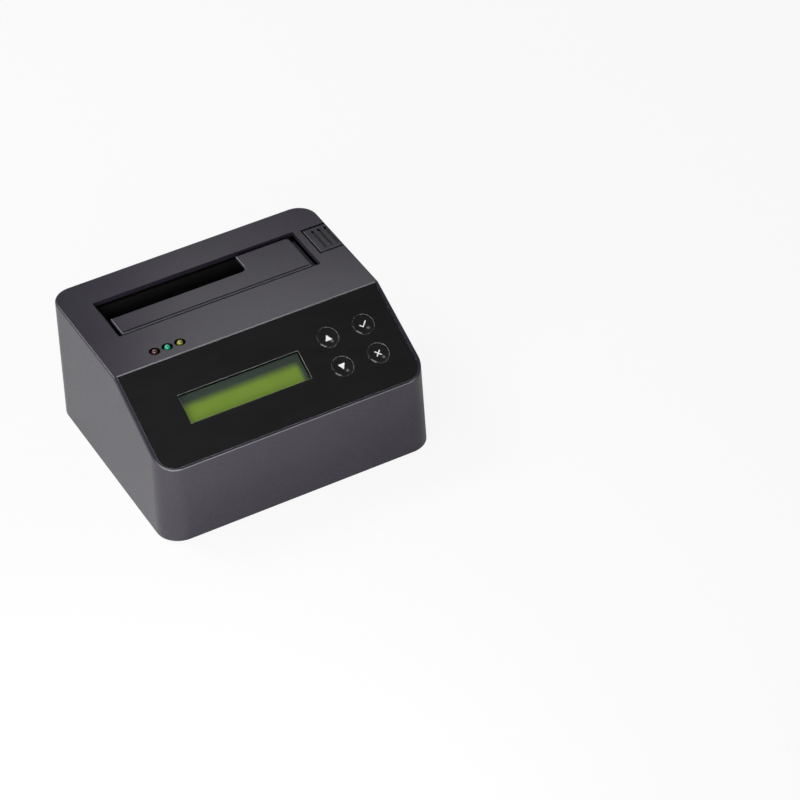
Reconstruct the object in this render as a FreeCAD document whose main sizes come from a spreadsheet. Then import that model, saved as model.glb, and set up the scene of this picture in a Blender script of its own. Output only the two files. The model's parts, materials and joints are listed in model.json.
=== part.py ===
import FreeCAD, Part
import math
import os
import re
import Sketcher
from FreeCAD import Placement, Rotation, Vector

# Driving dimensions in millimetres and degrees: X to the right, -Y to the front, Z up from the table
DIMENSIONS = {
    # Shared: joined forms sink into each other, cuts run past a face, pieces sit loosely in openings
    "overlap": 0.5,
    "past": 1.0,
    "fit_gap": 0.4,
    # Housing
    "body_width": 145.0,
    "body_depth": 126.0,
    "body_height": 70.0,
    "foot_height": 1.5,
    "draft_angle": 1.3,
    "corner_radius": 12.0,
    "edge_radius": 1.0,
    "wall": 2.5,
    "post_radius": 2.4,
    "boss_radius": 3.5,
    "corner_boss_x": 62.5,
    "corner_boss_y": 53.0,
    "front_boss_top": 45.5,
    # Sloped front, with places along the slope counted from the crease
    "crease_y": -13.5,
    "slope_angle": 28.0,
    "slab_top": 2.0,
    "slab_corner": 10.5,
    "panel_half": 69.3,
    "panel_top": -0.15,
    "crease_run": 0.4,
    "crease_fall": 0.5,
    "panel_bottom": -53.6,
    "panel_corner": 8.0,
    "panel_recess": 1.2,
    "panel_thickness": 1.0,
    "panel_gap": 0.12,
    # Display
    "window_left": -46.4,
    "window_right": 17.6,
    "window_top": -19.4,
    "window_bottom": -35.0,
    "lens_margin": 1.6,
    "lens_thickness": 0.8,
    "lcd_face": -3.7,
    "lcd_lip": 0.5,
    "lcd_glass_thickness": 2.2,
    "lcd_depth": 5.0,
    "lcd_frame_margin": 4.6,
    "lcd_board_width": 80.0,
    "lcd_board_length": 36.0,
    "lcd_hole_inset": 2.5,
    "board_thickness": 1.6,
    "board_corner": 1.0,
    # Keys
    "key_left": 34.2,
    "key_right": 53.6,
    "key_upper": -18.4,
    "key_lower": -34.9,
    "key_radius": 5.15,
    "key_gap": 0.3,
    "key_top": 0.0,
    "key_bevel": 0.35,
    "key_dish": 0.5,
    "key_travel": 0.6,
    "key_flange_radius": 6.4,
    "key_flange_thickness": 1.0,
    "key_stem_radius": 2.0,
    "switch_face": -6.9,
    "switch_seat": -11.2,
    "switch_side": 6.0,
    "plunger_radius": 1.75,
    "plunger_height": 0.8,
    "control_margin": 8.5,
    "control_hole": 6.0,
    # Indicator lamps
    "led_x": -45.6,
    "led_pitch": 6.67,
    "led_y": -5.7,
    "led_hole_radius": 2.8,
    "led_radius": 1.5,
    "led_top": 71.0,
    "led_length": 5.3,
    "led_flange": 0.4,
    "led_seat": 61.0,
    "led_board_margin": 9.0,
    "led_board_half": 5.0,
    "led_post_offset": 6.0,
    "lead_radius": 0.25,
    "lead_offset": 0.635,
    "lead_reach": 2.4,
    # Drive slot and flap
    "slot_left": -55.5,
    "slot_right": 53.6,
    "slot_front": 13.2,
    "slot_back": 43.5,
    "slot_corner": 1.0,
    "flap_left": -52.6,
    "flap_right": 49.9,
    "flap_front": 15.4,
    "flap_back": 41.6,
    "flap_top": 69.0,
    "flap_thickness": 2.0,
    "flap_radius": 2.0,
    "flap_edge": 0.5,
    "flap_groove_inset": 0.9,
    "flap_groove_width": 0.7,
    "flap_groove_depth": 0.6,
    "notch_right": 21.0,
    "notch_front": 29.0,
    "notch_radius": 3.0,
    "hinge_y": 12.2,
    "hinge_z": 65.0,
    "hinge_pin_radius": 1.0,
    "pin_clearance": 0.05,
    "knuckle_radius": 1.9,
    "knuckle_width": 5.0,
    "knuckle_inset": 0.4,
    "knuckle_side": 0.4,
    "knuckle_rise": 1.8,
    "knuckle_root_front": 0.3,
    "knuckle_root_back": 4.0,
    "flap_wire": 0.3,
    "flap_spring_radius": 1.6,
    "flap_spring_pitch": 0.75,
    "flap_spring_turns": 4.25,
    "flap_spring_leg": 9.0,
    "flap_spring_inset": 1.5,
    # Drive bay
    "bay_left": -53.2,
    "bay_right": 51.0,
    "bay_front": 13.4,
    "bay_back": 43.0,
    "bay_wall": 2.0,
    "bay_corner": 1.0,
    "bay_top": 66.0,
    "bay_floor": 19.5,
    "bay_front_top": 57.0,
    "cheek_reach": 3.0,
    "cheek_rise": 2.2,
    "cheek_root": 6.0,
    "tab_height": 52.0,
    "tab_left": -40.0,
    "tab_right": 38.0,
    "tab_front": 6.5,
    "tab_back": 50.0,
    "tab_half": 4.5,
    # Eject button and ejector
    "eject_left": 58.1,
    "eject_front": 21.4,
    "eject_back": 41.3,
    "eject_gap": 0.9,
    "eject_edge": 0.4,
    "eject_cap": 5.5,
    "eject_travel": 6.0,
    "eject_shell": 2.6,
    "eject_side_wall": 1.0,
    "eject_root": 2.1,
    "skirt_thickness": 1.2,
    "skirt_inset": 2.0,
    "skirt_overrun": 2.5,
    "groove_x": 62.0,
    "groove_pitch": 3.4,
    "groove_width": 1.3,
    "groove_depth": 0.9,
    "groove_front": 23.5,
    "groove_back": 39.0,
    "stem_x": 62.95,
    "stem_y": 33.0,
    "stem_radius": 2.5,
    "stem_end": 22.3,
    "stem_gap": 0.4,
    "neck_depth": 0.6,
    "clip_radius": 4.6,
    "clip_thickness": 0.9,
    "clip_mouth": 3.2,
    "eject_wire": 0.4,
    "eject_spring_radius": 3.15,
    "eject_spring_pitch": 3.0,
    "bracket_bottom": 46.0,
    "bracket_top": 49.0,
    "bracket_half": 5.5,
    "bracket_reach": 4.2,
    "rib_height": 10.0,
    "rib_thickness": 1.5,
    "pivot_x": 36.0,
    "pivot_z": 14.5,
    "pivot_radius": 1.25,
    "ear_half": 2.6,
    "ear_root": 4.5,
    "ear_thickness": 2.5,
    "lever_width": 6.0,
    "lever_half": 1.6,
    "lever_hub": 2.7,
    "lever_end": 3.0,
    "lever_pad": 10.0,
    "lever_shelf": 4.5,
    # Base cover
    "cover_thickness": 2.5,
    "cover_gap": 0.2,
    "foot_x": 50.0,
    "foot_y": 45.0,
    "foot_radius": 6.0,
    "foot_bevel": 0.7,
    "foot_sink": 0.5,
    "vent_pitch": 6.0,
    "vent_width": 2.0,
    "vent_front": -24.0,
    "vent_back": 6.0,
    # Main board and what stands on it
    "board_left": -56.0,
    "board_right": 40.0,
    "board_front": -30.0,
    "board_back": 58.5,
    "board_bottom": 8.5,
    "board_inset": 4.0,
    "chip_side": 14.0,
    "chip_left": -47.0,
    "chip_front": -22.0,
    "chip_height": 1.4,
    "can_x": -50.0,
    "can_y": 6.5,
    "can_pitch": 10.0,
    "can_radius": 4.0,
    "can_height": 11.5,
    "buzzer_x": 20.0,
    "buzzer_y": 2.0,
    "buzzer_radius": 6.0,
    "buzzer_height": 8.5,
    "buzzer_port": 1.2,
    # Drive connector
    "sata_left": -48.5,
    "sata_right": -10.0,
    "sata_y": 38.3,
    "sata_depth": 6.2,
    "sata_top": 22.3,
    "sata_post": 1.8,
    "sata_post_height": 2.0,
    "sata_slot_half": 1.3,
    "sata_slot_depth": 6.5,
    "sata_slot_inset": 2.4,
    "sata_slot_split": 23.6,
    "sata_slot_bridge": 1.6,
    "contact_first": 3.4,
    "contact_pitch": 1.27,
    "contact_width": 0.6,
    "contact_thickness": 0.4,
    # Rear sockets and the power switch
    "socket_face": 61.9,
    "socket_depth": 14.0,
    "socket_corner": 0.6,
    "usb_x": -14.0,
    "usb_width": 12.4,
    "usb_height": 12.9,
    "usb_wall": 0.5,
    "usb_back": 5.0,
    "usb_tongue_inset": 1.5,
    "lower_tongue_half": 2.8,
    "lower_tongue_bottom": 2.7,
    "lower_tongue_top": 5.9,
    "upper_tongue_half": 4.0,
    "upper_tongue_drop": 3.4,
    "upper_tongue_inset": 1.6,
    "dc_x": -40.0,
    "dc_width": 9.2,
    "dc_height": 11.0,
    "dc_axis": 16.3,
    "dc_bore_radius": 3.15,
    "dc_bore_depth": 10.0,
    "dc_pin_radius": 1.0,
    "dc_pin_length": 9.0,
    "switch_x": 20.0,
    "switch_width": 19.4,
    "switch_height": 13.0,
    "switch_axis_y": 57.0,
    "switch_well": 11.0,
    "well_half_width": 8.3,
    "well_half_height": 4.9,
    "rocker_tilt": 10.0,
    "rocker_half_height": 4.5,
    "rocker_half_width": 7.4,
    "rocker_face_half": 6.8,
    "rocker_root_half": 4.5,
    "rocker_root": 3.6,
    "rocker_edge": 3.2,
    "rocker_face": 3.7,
    "rocker_valley": 2.6,
    "trunnion_radius": 1.2,
    "trunnion_half": 5.7,
    # Flat cables
    "ribbon_thickness": 0.9,
    "ribbon_shift": 4.0,
    "ribbon_bend": 14.0,
    "lcd_ribbon_half": 6.0,
    "lcd_ribbon_along": -13.0,
    "key_ribbon_half": 4.0,
    "key_ribbon_along": -21.0,
    "key_ribbon_aside": 0.5,
    "led_ribbon_half": 4.0,
    "header_height": 6.0,
    "header_front": 2.2,
    "header_back": 3.2,
    "header_end": 1.5,
    "led_header_height": 3.0,
    "led_ribbon_offset": 4.0,
    # Screws
    "screw_radius": 1.4,
    "screw_gap": 0.2,
    "screw_depth": 8.0,
    "screw_head_radius": 2.7,
    "screw_head_height": 1.3,
    "head_recess": 1.4,
    "small_head_radius": 2.3,
    "small_screw_depth": 3.2,
}
VENTS = 11
LAMPS = ("red", "green", "yellow")
GROOVES = 3
CANS = 3
POWER_CONTACTS, SIGNAL_CONTACTS, SKIPPED_CONTACTS = 15, 7, 3

# Heights and levels that follow from those
BOARD_TOP = "(board_bottom + board_thickness)"
SWITCH_Z = f"({BOARD_TOP} + switch_height / 2)"
SLAB_BOTTOM = "(-panel_recess - wall)"
TOP_INSIDE = "(body_height - wall)"
COVER_TOP = "(foot_height + cover_thickness)"
FLAP_BOTTOM = "(flap_top - flap_thickness)"
LCD_X = "((window_left + window_right) / 2)"
LCD_Y = "((window_top + window_bottom) / 2)"
LCD_BACK = "(lcd_face - lcd_depth)"
KEY_STEM_END = "(switch_face + key_travel + key_gap)"
DISH_RADIUS = "(((key_radius - 2 * key_bevel)^2 + key_dish^2) / (2 * key_dish))"
BAY_FLOOR_BOTTOM = "(bay_floor - bay_wall)"
STEM_NECK = "(bracket_bottom - key_gap)"

# Places in plan, or on the slope, of things that come in sets
KEYS = {
    "key_up": ("key_left", "key_upper"),
    "key_down": ("key_left", "key_lower"),
    "key_ok": ("key_right", "key_upper"),
    "key_escape": ("key_right", "key_lower"),
}
FEET = {
    "foot_front_left": ("-foot_x", "-foot_y"),
    "foot_front_right": ("foot_x", "-foot_y"),
    "foot_rear_left": ("-foot_x", "foot_y"),
    "foot_rear_right": ("foot_x", "foot_y"),
}
LCD_HOLES = [(f"{LCD_X} {a} (lcd_board_width / 2 - lcd_hole_inset)",
              f"{LCD_Y} {b} (lcd_board_length / 2 - lcd_hole_inset)") for a in "-+" for b in "-+"]
CONTROL_HOLES = [("(key_left + key_right) / 2", along)
                 for along in ("key_upper + control_hole", "key_lower - control_hole")]
LED_PLACES = [(f"led_x + {i} * led_pitch", "led_y") for i in range(len(LAMPS))]
LED_HOLES = [("led_x - led_post_offset", "led_y"), (f"{LED_PLACES[-1][0]} + led_post_offset", "led_y")]
FRONT_BOSSES = [("-corner_boss_x", "-corner_boss_y"), ("corner_boss_x", "-corner_boss_y")]
REAR_BOSSES = [("-corner_boss_x", "corner_boss_y"), ("corner_boss_x", "corner_boss_y")]
BAY_TABS = [(x, y) for x in ("tab_left", "tab_right") for y in ("tab_front", "tab_back")]
BOARD_HOLES = [(x, y) for x in ("board_left + board_inset", "board_right - board_inset")
               for y in ("board_front + board_inset", "board_back - board_inset")]

doc = FreeCAD.newDocument("eraser_dock")
dims = doc.addObject("Spreadsheet::Sheet", "dims")
for row, (alias, value) in enumerate(DIMENSIONS.items(), 1):
    dims.set(f"A{row}", alias)
    dims.set(f"B{row}", str(value))
    dims.setAlias(f"B{row}", alias)
doc.recompute()
nodes = []


# Expressions on the sheet
def expand(text):
    """The expression with each alias written as a cell of the sheet."""
    return re.sub(r"[a-z_]+", lambda word: "dims." + word[0] if word[0] in DIMENSIONS else word[0], text)


def number(text):
    return float(dims.evalExpression(expand(text)))


def bind(thing, settings):
    for path, text in settings.items():
        thing.setExpression(path, expand(text))


def put(thing, x="0", y="0", z="0"):
    bind(thing, {"Placement.Base.x": x, "Placement.Base.y": y, "Placement.Base.z": z})
    return thing


def lay_on_slope(thing, path="Placement", height="0"):
    """Origin on the crease at a height above the slope: x along the crease, y up the slope, z out of it."""
    setattr(thing, path, Placement(Vector(), Rotation(Vector(1, 0, 0), 1.0)))
    bind(thing, {
        f"{path}.Base.y": f"crease_y - ({height}) * sin(slope_angle)",
        f"{path}.Base.z": f"body_height + ({height}) * cos(slope_angle)",
        f"{path}.Rotation.Angle": "slope_angle",
    })


def slope_point(along, out="0"):
    """The y and z of a point along the slope and out of it."""
    return (f"crease_y + ({along}) * cos(slope_angle) - ({out}) * sin(slope_angle)",
            f"body_height + ({along}) * sin(slope_angle) + ({out}) * cos(slope_angle)")


# Outlines: each returns a function that draws itself in a sketch, held by constraints on the sheet
def hold(sketch, kind, text, *elements):
    index = sketch.addConstraint(Sketcher.Constraint(kind, *elements, number(text)))
    sketch.setExpression(f"Constraints[{index}]", expand(text))


def polygon(*points):
    def draw(sketch):
        spots = [Vector(number(x), number(y), 0) for x, y in points]
        sides = [sketch.addGeometry(Part.LineSegment(a, b)) for a, b in zip(spots, spots[1:] + spots[:1])]
        for side, (x, y) in zip(sides, points):
            hold(sketch, "DistanceX", x, -1, 1, side, 1)
            hold(sketch, "DistanceY", y, -1, 1, side, 1)
        for side, following in zip(sides, sides[1:] + sides[:1]):
            sketch.addConstraint(Sketcher.Constraint("Coincident", side, 2, following, 1))
    return draw


def rectangle(left, right, bottom, top, radius="0", rounded=(True, True, True, True)):
    """A rectangle whose corners, counter-clockwise from the lower left, are round where rounded says so."""
    def draw(sketch):
        low_x, high_x, low_y, high_y, size = (number(text) for text in (left, right, bottom, top, radius))
        corners = [Vector(low_x, low_y), Vector(high_x, low_y), Vector(high_x, high_y), Vector(low_x, high_y)]
        along = [Vector(1, 0), Vector(0, 1), Vector(-1, 0), Vector(0, -1)]
        trim = [size if is_round else 0.0 for is_round in rounded]
        sides = []
        for i in range(4):
            after = (i + 1) % 4
            first = corners[i] + along[i] * trim[i]
            last = corners[after] - along[i] * trim[after]
            sides.append(sketch.addGeometry(Part.LineSegment(first, last)))
            sketch.addConstraint(Sketcher.Constraint("Vertical" if i % 2 else "Horizontal", sides[i]))
        for i in range(4):
            if trim[i] == 0.0:
                sketch.addConstraint(Sketcher.Constraint("Coincident", sides[i - 1], 2, sides[i], 1))
                continue
            centre = corners[i] + (along[i] - along[i - 1]) * size
            turn = math.pi * (1 + i / 2)
            bend = Part.ArcOfCircle(Part.Circle(centre, Vector(0, 0, 1), size), turn, turn + math.pi / 2)
            arc = sketch.addGeometry(bend)
            sketch.addConstraint(Sketcher.Constraint("Tangent", sides[i - 1], 2, arc, 1))
            sketch.addConstraint(Sketcher.Constraint("Tangent", arc, 2, sides[i], 1))
            hold(sketch, "Radius", radius, arc)
        for side, kind, text in zip(sides, ("DistanceY", "DistanceX") * 2, (bottom, right, top, left)):
            hold(sketch, kind, text, -1, 1, side, 1)
    return draw


def circle(x, y, radius):
    def draw(sketch):
        centre = Vector(number(x), number(y), 0)
        ring = sketch.addGeometry(Part.Circle(centre, Vector(0, 0, 1), number(radius)))
        hold(sketch, "Radius", radius, ring)
        hold(sketch, "DistanceX", x, -1, 1, ring, 3)
        hold(sketch, "DistanceY", y, -1, 1, ring, 3)
    return draw


def circles(places, radius):
    return [circle(x, y, radius) for x, y in places]


def window(margin="0"):
    """The display window's outline, widened by a margin."""
    return rectangle(f"window_left - {margin}", f"window_right + {margin}",
                     f"window_bottom - {margin}", f"window_top + {margin}")


# Bodies made of pads, pockets and rounded edges
class Piece:
    """A body; start and length run along +Z, +Y or +X of its planes XY, XZ and YZ, or out of the slope."""

    def __init__(self, label, on_slope=False, is_node=True):
        self.body = doc.addObject("PartDesign::Body", label)
        self.body.Label = label
        if on_slope:
            lay_on_slope(self.body)
        if is_node:
            nodes.append(self.body)

    def sketch(self, shapes, plane, start):
        sketch = self.body.newObject("Sketcher::SketchObject", "outline")
        role = "XY_Plane" if plane == "slope" else plane + "_Plane"
        support = next(feature for feature in self.body.Origin.OriginFeatures if feature.Role == role)
        sketch.AttachmentSupport = [(support, "")]
        sketch.MapMode = "FlatFace"
        if plane == "slope":
            lay_on_slope(sketch, "AttachmentOffset", start)
        else:
            bind(sketch, {"AttachmentOffset.Base.z": f"-({start})" if plane == "XZ" else start})
        for draw in shapes:
            draw(sketch)
        return sketch

    def extrude(self, kind, shapes, start, length, plane, is_reversed, taper):
        profile = self.sketch(shapes, plane, start)
        feature = self.body.newObject("PartDesign::" + kind, kind.lower())
        feature.Profile = profile
        feature.Reversed = is_reversed
        bind(feature, {"Length": length, "TaperAngle": taper})
        doc.recompute()

    def pad(self, *shapes, start="0", length="1", plane="XY", taper="0"):
        self.extrude("Pad", shapes, start, length, plane, plane == "XZ", taper)
        return self

    def pocket(self, *shapes, start="0", length="1", plane="XY", taper="0"):
        before = self.body.Shape.Volume
        self.extrude("Pocket", shapes, start, length, plane, plane != "XZ", taper)
        if self.body.Shape.Volume > before - 1e-3:
            raise RuntimeError(f"a pocket of {self.body.Label} removes nothing")
        return self

    def fillet(self, radius, is_chosen):
        base = self.body.Tip
        names = [f"Edge{i}" for i, edge in enumerate(base.Shape.Edges, 1) if is_chosen(edge)]
        feature = self.body.newObject("PartDesign::Fillet", "fillet")
        feature.Base = (base, names)
        bind(feature, {"Radius": radius})
        doc.recompute()
        return self

    def revolve(self, shape):
        """Turns an outline in X and Z about the body's Z axis."""
        profile = self.sketch([shape], "XZ", "0")
        feature = self.body.newObject("PartDesign::Revolution", "revolution")
        feature.Profile = profile
        feature.ReferenceAxis = (profile, ["V_Axis"])
        feature.Angle = 360
        doc.recompute()
        return self


def edges_at(x=None, y=None, z=None):
    """Chooses the edges that lie wholly at the given coordinates."""
    def is_chosen(edge):
        box = edge.BoundBox
        spans = ((box.XMin, box.XMax, x), (box.YMin, box.YMax, y), (box.ZMin, box.ZMax, z))
        return all(at is None or max(abs(low - at), abs(high - at)) < 0.01 for low, high, at in spans)
    return is_chosen


# Primitives, and groups of separate solids
def block(label, left, right, front, back, bottom, top):
    box = doc.addObject("Part::Box", label)
    bind(box, {"Length": f"({right}) - ({left})", "Width": f"({back}) - ({front})",
               "Height": f"({top}) - ({bottom})"})
    return put(box, left, front, bottom)


def rod(label, radius, length, x="0", y="0", z="0", axis=Vector(0, 0, 1)):
    cylinder = doc.addObject("Part::Cylinder", label)
    cylinder.Placement.Rotation = Rotation(Vector(0, 0, 1), axis)
    bind(cylinder, {"Radius": radius, "Height": length})
    return put(cylinder, x, y, z)


def ball(label, radius, x, y, z):
    sphere = doc.addObject("Part::Sphere", label)
    bind(sphere, {"Radius": radius})
    return put(sphere, x, y, z)


def joined(label, shapes):
    fuse = doc.addObject("Part::MultiFuse", label)
    fuse.Shapes = shapes
    return fuse


def cut(label, base, tool):
    result = doc.addObject("Part::Cut", label)
    result.Base = base
    result.Tool = tool
    return result


def group(label, solids):
    compound = doc.addObject("Part::Compound", label)
    compound.Links = solids
    return compound


def node(thing, label):
    thing.Label = label
    nodes.append(thing)
    return thing


def coil(label, radius, wire, pitch, height):
    """A helical spring about Z, standing on the XY plane."""
    path = doc.addObject("Part::Helix", label + "_path")
    bind(path, {"Radius": radius, "Pitch": pitch, "Height": height})
    section = doc.addObject("Part::Circle", label + "_section")
    section.Placement.Rotation = Rotation(Vector(1, 0, 0), 90)
    bind(section, {"Radius": wire})
    put(section, x=radius)
    doc.recompute()
    spring = doc.addObject("Part::Sweep", label)
    spring.Sections = [section]
    spring.Spine = (path, [f"Edge{i}" for i in range(1, len(path.Shape.Edges) + 1)])
    spring.Solid = True
    spring.Frenet = True
    return spring


# Housing
def on_top(point):
    return abs(point.z - number("body_height")) < 0.01


def on_slope(point):
    fall = (number("crease_y") - point.y) * math.tan(math.radians(number("slope_angle")))
    return abs(number("body_height") - fall - point.z) < 0.01


def is_upper_edge(edge):
    """The rim of the top or of the slope, without the crease, which is on both."""
    points = [vertex.Point for vertex in edge.Vertexes]
    return all(map(on_top, points)) != all(map(on_slope, points))


def outer_form(piece):
    """The drafted block with a sloped front and softened upper edges."""
    half_x, half_y = "body_width / 2", "body_depth / 2"
    piece.pad(rectangle("-" + half_x, half_x, "-" + half_y, half_y, "corner_radius"), start="foot_height",
              length="body_height - foot_height", taper="-draft_angle")
    behind, ahead = "crease_y + corner_radius", "crease_y - body_depth"
    above = "body_height + corner_radius * tan(slope_angle)"
    below = "body_height - body_depth * tan(slope_angle)"
    piece.pocket(polygon((behind, above), (ahead, above), (ahead, below)), plane="YZ", start="-body_width",
                 length="2 * body_width")
    return piece.fillet("edge_radius", is_upper_edge)


def make_top_housing():
    housing = outer_form(Piece("top_housing"))
    half_x, half_y = "(body_width / 2 - wall)", "(body_depth / 2 - wall)"
    housing.pocket(rectangle("-" + half_x, half_x, "-" + half_y, half_y, "corner_radius - wall"),
                   start="foot_height", length="body_height - foot_height - wall", taper="-draft_angle")
    # Corner bosses: the front pair ends in the slope's wall, the rear pair in the top
    housing.pad(*circles(FRONT_BOSSES, "boss_radius"), start=COVER_TOP,
                length=f"front_boss_top - {COVER_TOP}")
    housing.pad(*circles(REAR_BOSSES, "boss_radius"), start=COVER_TOP,
                length=f"{TOP_INSIDE} + overlap - {COVER_TOP}")
    housing.pad(rectangle("-" + half_x, half_x, "panel_bottom", "slab_top", "slab_corner",
                          (True, True, False, False)),
                plane="slope", start=SLAB_BOTTOM, length="wall")
    # Seat of the panel, with the openings for the display and the keys
    housing.pocket(rectangle("-panel_half", "panel_half", "panel_bottom", "panel_top", "panel_corner",
                             (True, True, False, False)),
                   plane="slope", start="-panel_recess", length="panel_recess + 2 * past")
    housing.pocket(window("(lens_margin + fit_gap)"), *circles(KEYS.values(), "key_radius + 2 * key_gap"),
                   plane="slope", start="-2 * (panel_recess + wall)", length="2 * (panel_recess + wall)")
    for places, seat in ((LCD_HOLES, LCD_BACK), (CONTROL_HOLES, "switch_seat")):
        housing.pad(*circles(places, "post_radius"), plane="slope", start=seat,
                    length=f"{SLAB_BOTTOM} + overlap - {seat}")
        housing.pocket(*circles(places, "screw_radius"), plane="slope", start=seat,
                       length="small_screw_depth + fit_gap")
    # Broken front edge of the top, along the panel
    foot, above = "body_height - crease_fall", "body_height + past"
    housing.pocket(polygon(("crease_y - past", above), ("crease_y - past", foot), ("crease_y", foot),
                           ("crease_y + crease_run", "body_height"), ("crease_y + crease_run", above)),
                   plane="YZ", start="-panel_half", length="2 * panel_half")
    # Drive slot, lamp holes and the seat of the eject button
    housing.pocket(rectangle("slot_left", "slot_right", "slot_front", "slot_back", "slot_corner"),
                   *circles(LED_PLACES, "led_hole_radius"), start=f"{TOP_INSIDE} - past",
                   length="wall + 2 * past")
    housing.pocket(rectangle("eject_left - eject_gap", "body_width / 2 + past", "eject_front - eject_gap",
                             "eject_back + eject_gap"),
                   start="body_height - eject_cap - eject_travel - eject_gap", length="body_height")
    # Posts of the lamp board and bosses of the bay, under the top
    for places, radius, seat, depth in ((LED_HOLES, "post_radius", "led_seat", "small_screw_depth"),
                                        (BAY_TABS, "boss_radius", "(tab_height + wall)", "screw_depth")):
        housing.pad(*circles(places, radius), start=seat, length=f"{TOP_INSIDE} + overlap - {seat}")
        housing.pocket(*circles(places, "screw_radius"), start=seat, length=f"{depth} + fit_gap")
    # Rear openings for the sockets and the switch
    for x, width, height in (("usb_x", "usb_width", "usb_height"), ("dc_x", "dc_width", "dc_height"),
                             ("switch_x", "switch_width", "switch_height")):
        half = f"({width} / 2 + fit_gap)"
        housing.pocket(rectangle(f"{x} - {half}", f"{x} + {half}", f"{BOARD_TOP} - fit_gap",
                                 f"{BOARD_TOP} + {height} + fit_gap", "2 * fit_gap"),
                       plane="XZ", start="body_depth / 2 - 2 * wall", length="4 * wall")
    housing.pocket(*circles(FRONT_BOSSES + REAR_BOSSES, "screw_radius"), start=COVER_TOP,
                   length="screw_depth + fit_gap")


def make_base_cover():
    cover = Piece("base_cover")
    half_x, half_y = "(body_width / 2 - wall - cover_gap)", "(body_depth / 2 - wall - cover_gap)"
    cover.pad(rectangle("-" + half_x, half_x, "-" + half_y, half_y, "corner_radius - wall - cover_gap"),
              start="foot_height", length="cover_thickness")
    cover.pad(*circles(BOARD_HOLES, "boss_radius"), start="foot_height", length="board_bottom - foot_height")
    cover.pocket(*circles(BOARD_HOLES, "screw_radius"), start=COVER_TOP, length="board_bottom")
    corners = FRONT_BOSSES + REAR_BOSSES
    cover.pocket(*circles(corners, "screw_radius + screw_gap"), length=f"{COVER_TOP} + past")
    cover.pocket(*circles(corners, "screw_head_radius + fit_gap"), length="foot_height + head_recess")
    cover.pocket(*circles(FEET.values(), "foot_radius + cover_gap"), length="foot_height + foot_sink")
    middles = [f"{i - VENTS // 2} * vent_pitch" for i in range(VENTS)]
    cover.pocket(*[rectangle(f"{x} - vent_width / 2", f"{x} + vent_width / 2", "vent_front", "vent_back",
                             "vent_width * 0.45") for x in middles],
                 length=f"{COVER_TOP} + past")


def make_feet():
    for label, (x, y) in FEET.items():
        foot = Piece(label)
        top = "foot_height + foot_sink"
        foot.revolve(polygon(("0", "0"), ("foot_radius - foot_bevel", "0"), ("foot_radius", "foot_bevel"),
                             ("foot_radius", top), ("0", top)))
        put(foot.body, x, y)


# Control panel, display and keys, in the slope's own frame
def make_panel():
    panel = Piece("front_panel", on_slope=True)
    half = "(panel_half - panel_gap)"
    panel.pad(rectangle("-" + half, half, "panel_bottom + panel_gap", "panel_top - panel_gap",
                        "panel_corner - panel_gap", (True, True, False, False)),
              start="-panel_recess", length="panel_thickness")
    panel.pocket(window(), *circles(KEYS.values(), "key_radius + key_gap"), start="-panel_recess - past",
                 length="panel_thickness + 2 * past")
    lens = Piece("lcd_window", on_slope=True)
    lens.pad(window("lens_margin"), start="-panel_recess - lens_thickness", length="lens_thickness")


def make_display():
    frame = Piece("lcd_frame", on_slope=True)
    frame.pad(window("lcd_frame_margin"), start=LCD_BACK, length="lcd_depth")
    frame.pocket(window("(lcd_frame_margin - lcd_lip)"), start=LCD_BACK, length="lcd_depth - lcd_lip")
    frame.pocket(window("fit_gap"), start=LCD_BACK, length="lcd_depth + past")
    glass_back = "(lcd_face - lcd_lip - lcd_glass_thickness)"
    inside = "(lcd_frame_margin - 2 * lcd_lip)"
    glass = Piece("lcd_glass", on_slope=True)
    glass.pad(window(inside), start=glass_back, length="lcd_glass_thickness")
    light = Piece("lcd_backlight", on_slope=True)
    light.pad(window(inside), start=LCD_BACK, length=f"{glass_back} - {LCD_BACK}")
    board = Piece("lcd_board", on_slope=True)
    board.pad(rectangle(f"{LCD_X} - lcd_board_width / 2", f"{LCD_X} + lcd_board_width / 2",
                        f"{LCD_Y} - lcd_board_length / 2", f"{LCD_Y} + lcd_board_length / 2", "board_corner"),
              start=f"{LCD_BACK} - board_thickness", length="board_thickness")
    board.pocket(*circles(LCD_HOLES, "screw_radius + screw_gap"),
                 start=f"{LCD_BACK} - board_thickness - past", length="board_thickness + 2 * past")


def make_keys():
    """Dished caps on a stem, kept in by a flange under the slope's wall."""
    flange_top = f"({SLAB_BOTTOM} - key_gap)"
    flange_bottom = f"({flange_top} - key_flange_thickness)"
    for label, (x, along) in KEYS.items():
        form = Piece(label + "_form", on_slope=True, is_node=False)
        form.revolve(polygon(("0", KEY_STEM_END), ("key_stem_radius", KEY_STEM_END),
                             ("key_stem_radius", flange_bottom), ("key_flange_radius", flange_bottom),
                             ("key_flange_radius", flange_top), ("key_radius", flange_top),
                             ("key_radius", "key_top - key_bevel"), ("key_radius - key_bevel", "key_top"),
                             ("0", "key_top")))
        put(form.body, x, *slope_point(along))
        dish = ball(label + "_dish", DISH_RADIUS, x,
                    *slope_point(along, f"key_top - key_dish + {DISH_RADIUS}"))
        node(cut(label + "_cap", form.body, dish), label)


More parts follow.
